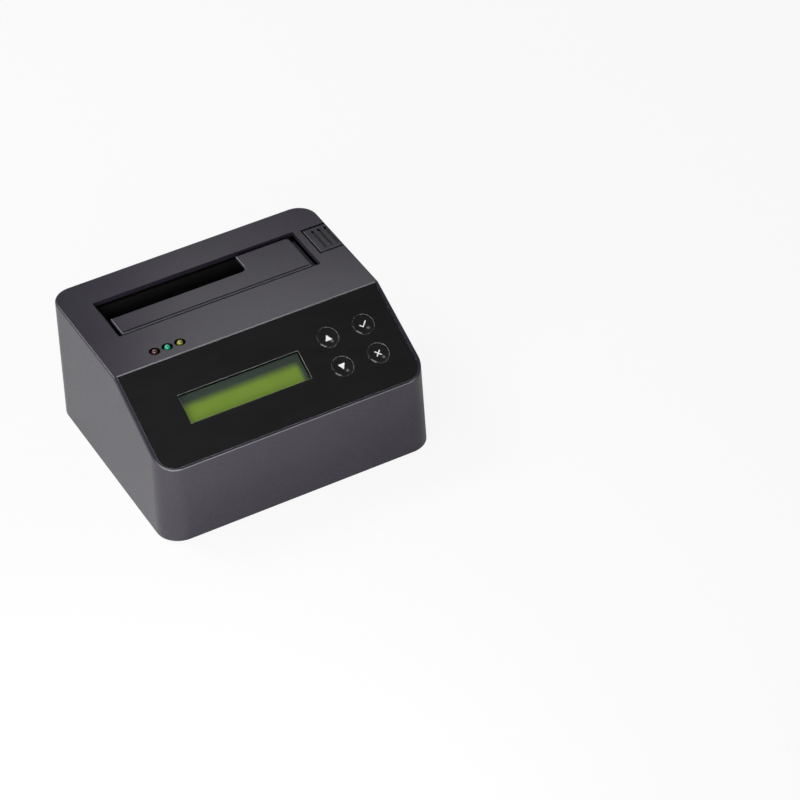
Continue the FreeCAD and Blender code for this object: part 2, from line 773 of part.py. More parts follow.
def make_control_board():
    board = Piece("control_board", on_slope=True)
    board.pad(rectangle("key_left - control_margin", "key_right + control_margin",
                        "key_lower - control_margin", "key_upper + control_margin", "board_corner"),
              start="switch_seat - board_thickness", length="board_thickness")
    board.pocket(*circles(CONTROL_HOLES, "screw_radius + screw_gap"),
                 start="switch_seat - board_thickness - past", length="board_thickness + 2 * past")
    bodies = []
    for label, (x, y) in KEYS.items():
        base_top = "switch_face - plunger_height"
        base = block(label + "_switch_base", f"{x} - switch_side / 2", f"{x} + switch_side / 2",
                     f"{y} - switch_side / 2", f"{y} + switch_side / 2", "switch_seat", base_top)
        plunger = rod(label + "_switch_plunger", "plunger_radius", "plunger_height + overlap", x, y,
                      f"{base_top} - overlap")
        bodies.append(joined(label + "_switch", [base, plunger]))
    lay_on_slope(node(group("switches", bodies), "key_switches"))


# Indicator lamps
def make_lamps():
    bottom, shoulder = "(led_top - led_length)", "(led_top - led_radius)"
    rim, rim_top = "led_radius + led_flange", f"{bottom} + 2 * led_flange"
    leads = [("-lead_offset", "0"), ("lead_offset", "0")]
    for colour, (x, y) in zip(LAMPS, LED_PLACES):
        barrel = Piece(f"led_{colour}_barrel", is_node=False)
        barrel.revolve(polygon(("0", bottom), (rim, bottom), (rim, rim_top), ("led_radius", rim_top),
                               ("led_radius", shoulder), ("0", shoulder)))
        barrel.pad(*circles(leads, "lead_radius"), start="led_seat - lead_reach",
                   length=f"{bottom} - led_seat + lead_reach + overlap")
        put(barrel.body, x, y)
        dome = ball(f"led_{colour}_dome", "led_radius", x, y, shoulder)
        node(joined(f"led_{colour}_lens", [barrel.body, dome]), f"led_{colour}")
    board = Piece("led_board")
    board.pad(rectangle("led_x - led_board_margin", f"{LED_PLACES[-1][0]} + led_board_margin",
                        "led_y - led_board_half", "led_y + led_board_half", "board_corner"),
              start="led_seat - board_thickness", length="board_thickness")
    solder = [(f"{x} {side} lead_offset", y) for x, y in LED_PLACES for side in "-+"]
    board.pocket(*circles(LED_HOLES, "screw_radius + screw_gap"), *circles(solder, "lead_radius"),
                 start="led_seat - board_thickness - past", length="board_thickness + 2 * past")


# Drive bay and flap
def make_bay():
    bay = Piece("bay_frame")
    outer_left, outer_right = "(bay_left - bay_wall)", "(bay_right + bay_wall)"
    outer_front, outer_back = "(bay_front - bay_wall)", "(bay_back + bay_wall)"
    bay.pad(rectangle(outer_left, outer_right, outer_front, outer_back), start=BAY_FLOOR_BOTTOM,
            length=f"bay_top - {BAY_FLOOR_BOTTOM}")
    bay.pocket(rectangle("bay_left", "bay_right", "bay_front", "bay_back", "bay_corner"), start="bay_floor",
               length="bay_top")
    bay.pocket(rectangle("bay_left", "bay_right", f"{outer_front} - past", "bay_front + 2 * past"),
               start="bay_front_top", length="bay_top")
    # Cheeks that carry the flap's pin
    front, back, top = "hinge_y - cheek_reach", "bay_front + cheek_reach", "hinge_z + cheek_rise"
    for left, right in ((outer_left, "bay_left"), ("bay_right", outer_right)):
        bay.pad(polygon((front, "bay_front_top"), (back, "bay_front_top - cheek_root"), (back, top),
                        (front, top)),
                plane="YZ", start=left, length=f"{right} - {left}")
    bay.pocket(circle("hinge_y", "hinge_z", "hinge_pin_radius"), plane="YZ", start="-body_width / 2",
               length="body_width")
    # Openings in the floor for the connector and the ejector's long arm
    lever_front, lever_back = "(stem_y - lever_width / 2 - overlap)", "(stem_y + lever_width / 2 + overlap)"
    bay.pocket(rectangle("sata_left - 1.5 * past", "sata_right + 1.5 * past",
                         "sata_y - sata_depth / 2 - past", "sata_y + sata_depth / 2 + past", "overlap"),
               rectangle("lever_end - 1.5 * past", "pivot_x - 2.5 * past", lever_front, lever_back),
               start=f"{BAY_FLOOR_BOTTOM} - past", length="bay_wall + 2 * past")
    # Ears under the floor for the ejector's pivot
    ear_top, ear_bottom = f"{BAY_FLOOR_BOTTOM} + overlap", "pivot_z - ear_half"
    for front in (f"{lever_front} - ear_thickness", lever_back):
        bay.pad(polygon(("pivot_x - ear_root", ear_top), ("pivot_x - ear_half", ear_bottom),
                        ("pivot_x + ear_half", ear_bottom), ("pivot_x + ear_root", ear_top)),
                plane="XZ", start=front, length="ear_thickness")
    bay.pocket(circle("pivot_x", "pivot_z", "pivot_radius"), plane="XZ", length="body_depth / 2")
    # Bracket that guides the eject button's stem, on two ribs
    root, rib_top = "bay_right + past", "bracket_bottom + overlap"
    bracket_front, bracket_back = "(stem_y - bracket_half)", "(stem_y + bracket_half)"
    bay.pad(rectangle(root, "stem_x + bracket_reach", bracket_front, bracket_back), start="bracket_bottom",
            length="bracket_top - bracket_bottom")
    for front in (bracket_front, f"{bracket_back} - rib_thickness"):
        bay.pad(polygon((root, "bracket_bottom - rib_height"), ("stem_x - bracket_half", rib_top),
                        (root, rib_top)),
                plane="XZ", start=front, length="rib_thickness")
    bay.pocket(circle("stem_x", "stem_y", "stem_radius + stem_gap"), start="bracket_bottom - past",
               length="bracket_top - bracket_bottom + 2 * past")
    # Tabs that hang the bay under the top
    for x in ("tab_left", "tab_right"):
        for low, high in (("tab_front - tab_half", f"{outer_front} + past"),
                          (f"{outer_back} - past", "tab_back + tab_half")):
            bay.pad(rectangle(f"{x} - tab_half", f"{x} + tab_half", low, high), start="tab_height",
                    length="wall")
    bay.pocket(*circles(BAY_TABS, "screw_radius + screw_gap"), start="tab_height - past",
               length="wall + 2 * past")


def make_flap():
    flap = Piece("drive_flap")
    flap.pad(polygon(("flap_left", "flap_front"), ("flap_right", "flap_front"), ("flap_right", "flap_back"),
                     ("notch_right", "flap_back"), ("notch_right", "notch_front"),
                     ("flap_left", "notch_front")),
             start=FLAP_BOTTOM, length="flap_thickness")
    flap.fillet("notch_radius", edges_at(x=number("notch_right"), y=number("notch_front")))
    flap.fillet("flap_radius", edges_at(x=number("flap_right"), y=number("flap_back")))
    flap.fillet("flap_edge", edges_at(z=number("flap_top")))
    groove = "(flap_front + flap_groove_inset)"
    flap.pocket(rectangle("flap_left + past", "flap_right - past", groove, f"{groove} + flap_groove_width",
                          "flap_groove_width * 0.4"),
                start="flap_top - flap_groove_depth", length="flap_thickness")
    # Knuckles on the pin, under the front edge of the slot
    root = f"{FLAP_BOTTOM} + overlap / 2"
    for left in ("flap_left + knuckle_inset", "flap_right - knuckle_inset - knuckle_width"):
        flap.pad(polygon(("hinge_y - knuckle_side", "hinge_z - knuckle_rise"),
                         ("flap_front + knuckle_root_back", root), ("flap_front + knuckle_root_front", root),
                         ("hinge_y + knuckle_side", "hinge_z + knuckle_rise")),
                 plane="YZ", start=left, length="knuckle_width")
        flap.pad(circle("hinge_y", "hinge_z", "knuckle_radius"), plane="YZ", start=left,
                 length="knuckle_width")
    flap.pocket(circle("hinge_y", "hinge_z", "hinge_pin_radius + pin_clearance"), plane="YZ",
                start="-body_width / 2", length="body_width")
    pin_left = "(bay_left - bay_wall)"
    node(rod("hinge_pin", "hinge_pin_radius", f"bay_right + bay_wall - {pin_left}", pin_left, "hinge_y",
             "hinge_z", Vector(1, 0, 0)), "flap_hinge_pin")


def make_flap_spring():
    """Torsion spring round the pin: one leg lies under the flap, the other hooks on the bay's front wall."""
    first, height = "(flap_left + knuckle_width + flap_spring_inset)", "flap_spring_turns * flap_spring_pitch"
    last = f"{first} + {height}"
    turns = coil("flap_spring_turns", "flap_spring_radius", "flap_wire", "flap_spring_pitch", height)
    turns.Placement.Rotation = Rotation(Vector(1, 0, 0), 180) * Rotation(Vector(0, 1, 0), 90)
    put(turns, first, "hinge_y", "hinge_z")
    flap_leg = rod("flap_leg", "flap_wire", "flap_spring_leg", first, "hinge_y",
                   "hinge_z + flap_spring_radius", Vector(0, 1, 0))
    front, low = "hinge_y - flap_spring_radius", "hinge_z - flap_spring_leg"
    wall_leg = rod("wall_leg", "flap_wire", "flap_spring_leg", last, front, low)
    hook = rod("hook", "flap_wire", f"bay_front - bay_wall - ({front})", last, front, low, Vector(0, 1, 0))
    node(joined("flap_spring_wire", [turns, flap_leg, wall_leg, hook]), "flap_spring")


# Eject button and ejector
def make_eject():
    form = outer_form(Piece("button_form", is_node=False))
    cap_bottom = "(body_height - eject_cap)"
    zone = Piece("button_zone", is_node=False)
    zone.pad(rectangle("eject_left", "body_width / 2 + past", "eject_front", "eject_back"), start=cap_bottom,
             length="eject_cap")
    zone.fillet("eject_edge", edges_at(z=number("body_height")))
    cap = doc.addObject("Part::Common", "button_cap")
    cap.Base = form.body
    cap.Tool = zone.body
    skirt_right = "(body_width / 2 - wall - skirt_inset)"
    hollow = block("button_hollow", "eject_left + eject_side_wall", f"{skirt_right} - overlap",
                   "eject_front + eject_side_wall", "eject_back - eject_side_wall", f"{cap_bottom} - past",
                   "body_height - eject_shell")
    grooves = Piece("button_grooves", is_node=False)
    for i in range(GROOVES):
        middle = f"(groove_x + {i} * groove_pitch)"
        grooves.pad(rectangle(f"{middle} - groove_width / 2", f"{middle} + groove_width / 2", "groove_front",
                              "groove_back", "groove_width * 0.48"),
                    start="body_height - groove_depth", length="groove_depth + past")
    shell = cut("button_shell", cut("button_grooved", cap, grooves.body), hollow)
    # The skirt slides behind the side wall, and the stem reaches down to the lever
    ceiling = "body_height - eject_root"
    skirt = block("button_skirt", f"{skirt_right} - skirt_thickness", skirt_right, "eject_front + eject_gap",
                  "eject_back - eject_gap", f"{cap_bottom} - eject_travel - skirt_overrun", ceiling)
    stem = Piece("button_stem", is_node=False)
    neck_bottom, neck_radius = f"{STEM_NECK} - past", "stem_radius - neck_depth"
    stem.revolve(polygon(("0", "stem_end"), ("stem_radius * 0.5", "stem_end + stem_radius * (1 - cos(30))"),
                         ("stem_radius * sin(60)", "stem_end + stem_radius * 0.5"),
                         ("stem_radius", "stem_end + stem_radius"), ("stem_radius", neck_bottom),
                         (neck_radius, neck_bottom), (neck_radius, STEM_NECK), ("stem_radius", STEM_NECK),
                         ("stem_radius", ceiling), ("0", ceiling)))
    put(stem.body, "stem_x", "stem_y")
    node(joined("button", [shell, skirt, stem.body]), "eject_button")
    # Clip in the stem's neck, under the bracket, and the return spring over it
    clip_bottom = f"{STEM_NECK} - clip_thickness - pin_clearance"
    ring = rod("clip_ring", "clip_radius", "clip_thickness", "stem_x", "stem_y", clip_bottom)
    bore = rod("clip_bore", neck_radius, "3 * clip_thickness", "stem_x", "stem_y",
               f"{clip_bottom} - clip_thickness")
    mouth = block("clip_mouth", "stem_x - clip_mouth / 2", "stem_x + clip_mouth / 2", "stem_y",
                  "stem_y + 2 * clip_radius", f"{clip_bottom} - past", f"{clip_bottom} + 2 * past")
    node(cut("clip", ring, joined("clip_opening", [bore, mouth])), "eject_clip")
    spring = coil("spring", "eject_spring_radius", "eject_wire", "eject_spring_pitch",
                  "body_height - eject_shell - bracket_top - 2.25 * eject_wire")
    put(node(spring, "eject_spring"), "stem_x", "stem_y", "bracket_top + eject_wire")


def make_ejector():
    lever = Piece("ejector_lever")
    low, high = "(pivot_z - lever_half)", "(pivot_z + lever_half)"
    shelf, pad_top = "(stem_end - key_gap)", "bay_floor - past"
    shelf_left, shelf_right = "stem_x - lever_shelf", "stem_x + lever_shelf - overlap"
    front = "stem_y - lever_width / 2"
    lever.pad(polygon(("lever_end", low), (shelf_right, low), (shelf_right, shelf), (shelf_left, shelf),
                      (f"{shelf_left} - 3 * past", high), ("lever_end + lever_pad", high),
                      ("lever_end + lever_pad - overlap", pad_top), ("lever_end", pad_top)),
              plane="XZ", start=front, length="lever_width")
    lever.pad(circle("pivot_x", "pivot_z", "lever_hub"), plane="XZ", start=front, length="lever_width")
    lever.pocket(circle("pivot_x", "pivot_z", "pivot_radius + pin_clearance"), plane="XZ",
                 length="body_depth / 2")
    reach = "(overlap + ear_thickness)"
    node(rod("pivot_pin", "pivot_radius", f"lever_width + 2 * {reach}", "pivot_x", f"{front} - {reach}",
             "pivot_z", Vector(0, 1, 0)), "ejector_pin")


# Main board, connectors and what stands on it
def make_main_board():
    board = Piece("main_board")
    board.pad(rectangle("board_left", "board_right", "board_front", "board_back", "board_corner"),
              start="board_bottom", length="board_thickness")
    board.pocket(*circles(BOARD_HOLES, "screw_radius + screw_gap"), start="board_bottom - past",
                 length="board_thickness + 2 * past")
    node(block("chip", "chip_left", "chip_left + chip_side", "chip_front", "chip_front + chip_side",
               BOARD_TOP, f"{BOARD_TOP} + chip_height"), "controller_chip")
    cans = [rod(f"can_{i}", "can_radius", "can_height", f"can_x + {i} * can_pitch", "can_y", BOARD_TOP)
            for i in range(CANS)]
    node(group("cans", cans), "capacitors")
    sounder = rod("sounder", "buzzer_radius", "buzzer_height", "buzzer_x", "buzzer_y", BOARD_TOP)
    port = rod("sounder_port", "buzzer_port", "3 * past", "buzzer_x", "buzzer_y",
               f"{BOARD_TOP} + buzzer_height - 2 * past")
    node(cut("sounder_with_port", sounder, port), "buzzer")


def make_sata():
    front, back = "(sata_y - sata_depth / 2)", "(sata_y + sata_depth / 2)"
    slot_front, slot_back = "sata_y - sata_slot_half", "sata_y + sata_slot_half"
    shell = Piece("sata_receptacle")
    shell.pad(rectangle("sata_left", "sata_right", front, back, "socket_corner"), start=BOARD_TOP,
              length=f"sata_top - {BOARD_TOP}")
    for left in ("sata_left", "sata_right - sata_post"):
        shell.pad(rectangle(left, f"{left} + sata_post", f"{front} + sata_post / 2",
                            f"{back} - sata_post / 2", "fit_gap"),
                  start="sata_top - past", length="sata_post_height + past")
    split = "(sata_left + sata_slot_split)"
    for left, right in (("sata_left + sata_slot_inset", split),
                        (f"{split} + sata_slot_bridge", "sata_right - sata_slot_inset")):
        shell.pocket(rectangle(left, right, slot_front, slot_back), start="sata_top - sata_slot_depth",
                     length="2 * sata_slot_depth")
    signal_start = POWER_CONTACTS + SKIPPED_CONTACTS
    blades = []
    for i in [*range(POWER_CONTACTS), *range(signal_start, signal_start + SIGNAL_CONTACTS)]:
        left = f"sata_left + contact_first + {i} * contact_pitch"
        blades.append(block(f"blade_{i}", left, f"{left} + contact_width", f"{slot_back} - contact_thickness",
                            slot_back, "sata_top - sata_slot_depth", "sata_top - contact_width"))
    node(group("blades", blades), "sata_contacts")


def make_rear_sockets():
    # Square socket for the computer's cable, with a tongue above and below in its blue insert
    left, right = "(usb_x - usb_width / 2)", "(usb_x + usb_width / 2)"
    front, top = "(bay_back + bay_wall + socket_corner)", f"({BOARD_TOP} + usb_height)"
    can = Piece("usb_shell")
    can.pad(rectangle(left, right, BOARD_TOP, top, "2 * usb_wall"), plane="XZ", start=front,
            length=f"socket_face - {front}")
    can.pocket(rectangle(f"{left} + usb_wall", f"{right} - usb_wall", f"{BOARD_TOP} + usb_wall",
                         f"{top} - usb_wall", "socket_corner"),
               plane="XZ", start=f"{front} + usb_wall", length="usb_width * 2")
    inset = "socket_corner"
    insert = Piece("usb_insert")
    insert.pad(rectangle(f"{left} + {inset}", f"{right} - {inset}", f"{BOARD_TOP} + {inset}",
                         f"{top} - {inset}", "usb_wall"),
               plane="XZ", start=f"{front} + usb_wall", length="usb_back")
    lower = ("lower_tongue_half", f"{BOARD_TOP} + lower_tongue_bottom", f"{BOARD_TOP} + lower_tongue_top")
    upper = ("upper_tongue_half", f"{top} - upper_tongue_drop", f"{top} - upper_tongue_inset")
    for half, low, high in (lower, upper):
        insert.pad(rectangle(f"usb_x - {half}", f"usb_x + {half}", low, high), plane="XZ",
                   start=f"{front} + usb_back - past",
                   length=f"socket_face - usb_tongue_inset - {front} - usb_back + past")
    # Round power inlet with a centre pin
    jack = Piece("dc_jack")
    jack.pad(rectangle("dc_x - dc_width / 2", "dc_x + dc_width / 2", BOARD_TOP, f"{BOARD_TOP} + dc_height",
                       "socket_corner"),
             plane="XZ", start="socket_face - socket_depth", length="socket_depth")
    jack.pocket(circle("dc_x", "dc_axis", "dc_bore_radius"), plane="XZ", start="socket_face - dc_bore_depth",
                length="2 * dc_bore_depth")
    node(rod("inlet_pin", "dc_pin_radius", "dc_pin_length", "dc_x", "socket_face - dc_bore_depth", "dc_axis",
             Vector(0, 1, 0)), "dc_jack_pin")


def make_power_switch():
    left, right = "(switch_x - switch_width / 2)", "(switch_x + switch_width / 2)"
    body = Piece("power_switch")
    body.pad(rectangle(left, right, BOARD_TOP, f"{BOARD_TOP} + switch_height", "socket_corner"), plane="XZ",
             start="socket_face - socket_depth", length="socket_depth")
    body.pocket(rectangle("switch_x - well_half_width", "switch_x + well_half_width",
                          f"{SWITCH_Z} - well_half_height", f"{SWITCH_Z} + well_half_height", "overlap"),
                plane="XZ", start="socket_face - switch_well", length="2 * switch_well")
    socket_half = "(trunnion_half + cover_gap)"
    body.pocket(circle("switch_x", "switch_axis_y", "trunnion_radius + pin_clearance"),
                start=f"{SWITCH_Z} - {socket_half}", length=f"2 * {socket_half}")
    # The rocker's face is a shallow valley, drawn about its own axis
    half_profile = [("rocker_root_half", "-rocker_root"), ("rocker_half_width", "0"),
                    ("rocker_half_width", "rocker_edge"), ("rocker_face_half", "rocker_face")]
    mirrored = [("-" + x, y) for x, y in reversed(half_profile)]
    rocker = Piece("power_rocker")
    rocker.pad(polygon(*half_profile, ("0", "rocker_valley"), *mirrored),
               start=f"{SWITCH_Z} - rocker_half_height", length="2 * rocker_half_height")
    rocker.pad(circle("0", "0", "trunnion_radius"), start=f"{SWITCH_Z} - trunnion_half",
               length="2 * trunnion_half")
    rocker.body.Placement.Rotation = Rotation(Vector(0, 0, 1), 1.0)
    bind(rocker.body, {"Placement.Rotation.Angle": "rocker_tilt"})
    put(rocker.body, "switch_x", "switch_axis_y")


def make_ribbons():
    """Flat cables from the upper boards straight down to the main board, each between two headers."""
    floor = f"({BOARD_TOP} + header_height)"
    headers = []
    for label, x, half, along, out in (
            ("lcd_ribbon", LCD_X, "lcd_ribbon_half", "lcd_ribbon_along", f"({LCD_BACK} - board_thickness)"),
            ("key_ribbon", "(key_left - key_ribbon_aside)", "key_ribbon_half", "key_ribbon_along",
             "(switch_seat - board_thickness)")):
        mouth_y, mouth_z = slope_point(along, f"{out} - header_height")
        drop, bend = f"({mouth_y} + ribbon_shift)", f"({mouth_z} - ribbon_shift / tan(slope_angle))"
        far = f"{drop} + ribbon_thickness"
        ribbon = Piece(label)
        ribbon.pad(polygon((mouth_y, mouth_z), (f"{mouth_y} + ribbon_thickness * cos(slope_angle)",
                                                f"{mouth_z} + ribbon_thickness * sin(slope_angle)"),
                           (far, f"{bend} + ribbon_thickness * tan(slope_angle / 2)"), (far, floor),
                           (drop, floor), (drop, bend)),
                   plane="YZ", start=f"{x} - {half}", length=f"2 * {half}")
        ribbon.fillet("ribbon_bend", edges_at(y=number(drop), z=number(bend)))
        left, right = f"{x} - {half} - header_end", f"{x} + {half} + header_end"
        upper = block(label + "_upper", left, right, f"{along} - header_front", f"{along} + header_back",
                      f"{out} - header_height", out)
        lifted = group(label + "_upper_header", [upper])
        lay_on_slope(lifted)
        lower = block(label + "_lower", left, right, f"{drop} - header_front", f"{drop} + header_back",
                      BOARD_TOP, floor)
        headers += [lifted, lower]
    # The lamps' cable hangs straight from their board
    x, y, half = LED_PLACES[1][0], "led_y + led_ribbon_offset", "led_ribbon_half"
    ceiling = "(led_seat - board_thickness)"
    ribbon = Piece("led_ribbon")
    ribbon.pad(rectangle(f"{x} - {half}", f"{x} + {half}", y, f"{y} + ribbon_thickness"), start=floor,
               length=f"{ceiling} - led_header_height - {floor}")
    left, right = f"{x} - {half} - past", f"{x} + {half} + past"
    for label, bottom, top in (("led_upper", f"{ceiling} - led_header_height", ceiling),
                               ("led_lower", BOARD_TOP, floor)):
        headers.append(block(label, left, right, f"{y} - header_front", f"{y} + header_back", bottom, top))
    node(group("headers", headers), "ribbon_headers")


# Fasteners: a cheese head under a seat, and a plain shank that points up from it
def screw(label, x, y, seat, length, head_radius="screw_head_radius"):
    under = f"({seat}) - screw_head_height"
    head = rod(label + "_head", head_radius, "screw_head_height", x, y, under)
    shank = rod(label + "_shank", "screw_radius", f"screw_head_height + {length}", x, y, under)
    return joined(label, [head, shank])


def screws(label, places, seat, length, head_radius="screw_head_radius"):
    return [screw(f"{label}_{i}", x, y, seat, length, head_radius) for i, (x, y) in enumerate(places)]


def make_screws():
    bays = screws("bay_screw", BAY_TABS, "tab_height", "wall + screw_depth")
    node(group("bay_fasteners", bays), "bay_screws")
    bases = screws("base_screw", FRONT_BOSSES + REAR_BOSSES, "foot_height + head_recess",
                   "cover_thickness - head_recess + screw_depth")
    node(group("base_fasteners", bases), "base_screws")
    boards = []
    for i, (x, y) in enumerate(BOARD_HOLES):
        head = rod(f"board_head_{i}", "screw_head_radius", "screw_head_height", x, y, BOARD_TOP)
        shank = rod(f"board_shank_{i}", "screw_radius", f"{BOARD_TOP} + overlap - {COVER_TOP}", x, y,
                    COVER_TOP)
        boards.append(joined(f"board_screw_{i}", [head, shank]))
    node(group("board_fasteners", boards), "board_screws")
    length, head_radius = "board_thickness + small_screw_depth", "small_head_radius"
    on_panel = screws("lcd_screw", LCD_HOLES, f"{LCD_BACK} - board_thickness", length, head_radius)
    on_panel += screws("control_screw", CONTROL_HOLES, "switch_seat - board_thickness", length, head_radius)
    tilted = group("panel_fasteners", on_panel)
    lay_on_slope(tilted)
    lamps = screws("lamp_screw", LED_HOLES, "led_seat - board_thickness", length, head_radius)
    node(group("inner_fasteners", [tilted, *lamps]), "inner_screws")


make_top_housing()
make_base_cover()
make_feet()
make_panel()
make_display()
make_keys()
make_control_board()
make_lamps()
make_bay()
make_flap()
make_flap_spring()
make_eject()
make_ejector()
make_main_board()
make_sata()
make_rear_sockets()
make_power_switch()
make_ribbons()
make_screws()
doc.recompute()

# Nothing is written unless every object and every node is sound
failed = [thing.Label for thing in doc.Objects if "Invalid" in thing.State or "Error" in thing.State]
failed += [thing.Label for thing in nodes if thing.Shape.isNull() or not thing.Shape.isValid()]
if failed:
    raise RuntimeError(f"not sound: {failed}")
os.makedirs("parts", exist_ok=True)
for thing in nodes:
    thing.Shape.exportStep(f"parts/{thing.Label}.step")
    print(f"{thing.Label}: {len(thing.Shape.Solids)} solids, {thing.Shape.Volume / 1000:.2f} cm3")
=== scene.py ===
# Visual model of the hard drive eraser dock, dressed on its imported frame.
import json
import math

import bmesh
import bpy
from mathutils import Matrix, Vector
from mathutils.bvhtree import BVHTree

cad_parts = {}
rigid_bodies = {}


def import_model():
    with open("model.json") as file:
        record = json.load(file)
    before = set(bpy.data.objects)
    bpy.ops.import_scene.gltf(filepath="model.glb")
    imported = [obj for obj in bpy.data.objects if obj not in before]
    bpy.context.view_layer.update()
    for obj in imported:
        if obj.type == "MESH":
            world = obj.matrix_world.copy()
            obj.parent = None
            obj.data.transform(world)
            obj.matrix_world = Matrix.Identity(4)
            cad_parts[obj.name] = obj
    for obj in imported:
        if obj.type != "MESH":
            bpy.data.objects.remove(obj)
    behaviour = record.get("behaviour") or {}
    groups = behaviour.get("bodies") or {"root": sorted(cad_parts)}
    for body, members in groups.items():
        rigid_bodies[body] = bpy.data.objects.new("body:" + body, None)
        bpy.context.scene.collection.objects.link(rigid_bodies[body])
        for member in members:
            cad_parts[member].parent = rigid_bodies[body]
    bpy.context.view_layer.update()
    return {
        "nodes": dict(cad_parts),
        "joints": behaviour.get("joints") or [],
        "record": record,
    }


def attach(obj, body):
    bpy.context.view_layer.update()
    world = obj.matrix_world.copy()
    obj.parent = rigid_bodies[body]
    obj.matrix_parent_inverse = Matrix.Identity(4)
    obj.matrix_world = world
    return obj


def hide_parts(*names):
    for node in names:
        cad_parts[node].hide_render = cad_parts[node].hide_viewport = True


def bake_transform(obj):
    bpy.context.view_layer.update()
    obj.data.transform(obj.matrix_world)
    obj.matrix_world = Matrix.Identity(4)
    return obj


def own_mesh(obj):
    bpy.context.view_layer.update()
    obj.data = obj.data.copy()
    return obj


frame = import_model()
nodes = frame["nodes"]
scene = bpy.context.scene
MM = 0.001

# Camera, as fitted to the photograph
IMAGE_SIDE = 800
FOCAL_PIXELS = 3401.9
AZIMUTH = math.radians(-26.86)
ELEVATION = math.radians(39.77)
ROLL = math.radians(-2.996)
ORIGIN_PIXEL = (245.07, 424.80)
PIXELS_PER_METRE = 2025.7
SENSOR = 36.0

# Lamps: direction from the object, distance and size in metres, power in watts, and how much wider than tall
LAMPS = {
    "overhead": {"direction": (-0.4, 0.5, 0.77), "distance": 1.3, "size": 0.5, "power": 10},
    "top_sheen": {"direction": (0.35, 0.52, 0.78), "distance": 0.375, "size": 0.09, "power": 0.085,
                  "breadth": 2.2},
    "glint": {"direction": (0.245, 0.065, 0.962), "distance": 1.3, "size": 0.15, "power": 0.2},
    "left_box": {"direction": (-1.0, 0.3, 0.35), "distance": 1.0, "size": 0.6, "power": 1.3},
    "front_box": {"direction": (-0.56, -0.72, 0.41), "distance": 0.42, "size": 0.32, "power": 1.85},
    "front_strip": {"direction": (0.35, -0.89, 0.3), "distance": 1.2, "size": 0.2, "power": 0.15},
}

# Surroundings: colour at the horizon, colour overhead, and the height in the sky where the second is reached
HORIZON = (0.55, 0.55, 0.57, 1)
ZENITH = (0.12, 0.12, 0.125, 1)
ZENITH_HEIGHT = 0.5

# Floor: half its side and a hair's breadth under the feet, in metres, and how white it is to each kind of ray
FLOOR_HALF = 4.0
FLOOR_DROP = 0.0001
FLOOR_GLOW = {"Is Camera Ray": 0.9, "Is Glossy Ray": 0.12, "Is Transmission Ray": 0.9}

# Key signs, in millimetres on the key's face
ARROW_HALF = 1.8
ARROW_HEIGHT = 3.1
STROKE_HALF = 0.27
TICK = [(-1.7, 0.1), (-0.55, -1.15), (1.75, 1.3)]
CROSS_REACH = 1.15
PRINT_LIFT = 0.03
PRINT_DEPTH = 0.05
PRINT_START = 1.0
PRINT_CUTS = 3

# Rounded edges, in millimetres
EDGE_BREAKS = {"front_panel": 0.18}
BREAK_ANGLE = math.radians(40)
BREAK_STEPS = 2
WELD_REACH = 0.005

# Ways toward which edges get a painted highlight: out of the panel, between its slope and the front, and up
key_joint = next(joint for joint in frame["joints"] if joint["child"] == "up_key")
OUTWARD = -Vector(key_joint["axis"]).normalized()
FRONT_EDGE = (OUTWARD + Vector((0, -0.35, -0.25))).normalized()
UPWARD = Vector((0, 0, 1))

# Strength of the painted highlight on edges: the cosine between a face and such a way, and the share of the
# highlight colour there
PANEL_HIGHLIGHT_LEAN = [(0.02, 0), (0.2, 1), (0.92, 1), (0.985, 0)]
CORNER_HIGHLIGHT_LEAN = [(0.97, 0), (0.99, 1)]
RIM_HIGHLIGHT_LEAN = [(0.3, 0), (0.5, 1), (0.85, 1), (0.95, 0)]

# Painted shade in crevices: reach in millimetres, and how open a place is where the painted shade is darkest
# and where it ends
PAINTED_SHADE_REACH = 2.0
PAINTED_SHADE_SHARES = (0.6, 0.97)

# Patterns in materials: widths in millimetres
MOTTLE = 26
WIPE = 5
DUST = 0.5
WAVES = 9
STAIN = 4
LAMP_CLOUD = 1.6
LAMP_GRAIN = 0.4
DISPLAY_CLOUD = 14
DISPLAY_DOT = 0.6
SMEAR = 8
TRACK = 2.4
BOARD_CLOUD = 7
BOARD_GRAIN = 1.2
RIBBON_WIRE = 2.2
RIBBON_GRAIN = 1.5
INK_GRAIN = 0.35
FLOOR_CLOUD = 400

# Display: glow as a multiple of its colour, painted light that also lifts its shade, and its painted shadow
# along the right and top as shares of its width and height
DISPLAY_GLOW = 0.44
DISPLAY_PAINTED_SHADOW = {"X": (0.9, 0.94), "Z": (0.62, 0.76)}

# Reflection of the clear lens: share seen head on, and how late it grows at a slant
LENS_HEAD_ON = 0.04
LENS_POWER = 5.0


def srgb(red, green, blue):
    """Linear colour of a picture's 0 to 255 values."""
    parts = [value / 255 for value in (red, green, blue)]
    linear = [v / 12.92 if v <= 0.04045 else ((v + 0.055) / 1.055) ** 2.4 for v in parts]
    return (*linear, 1.0)


WHITE = srgb(255, 255, 255)


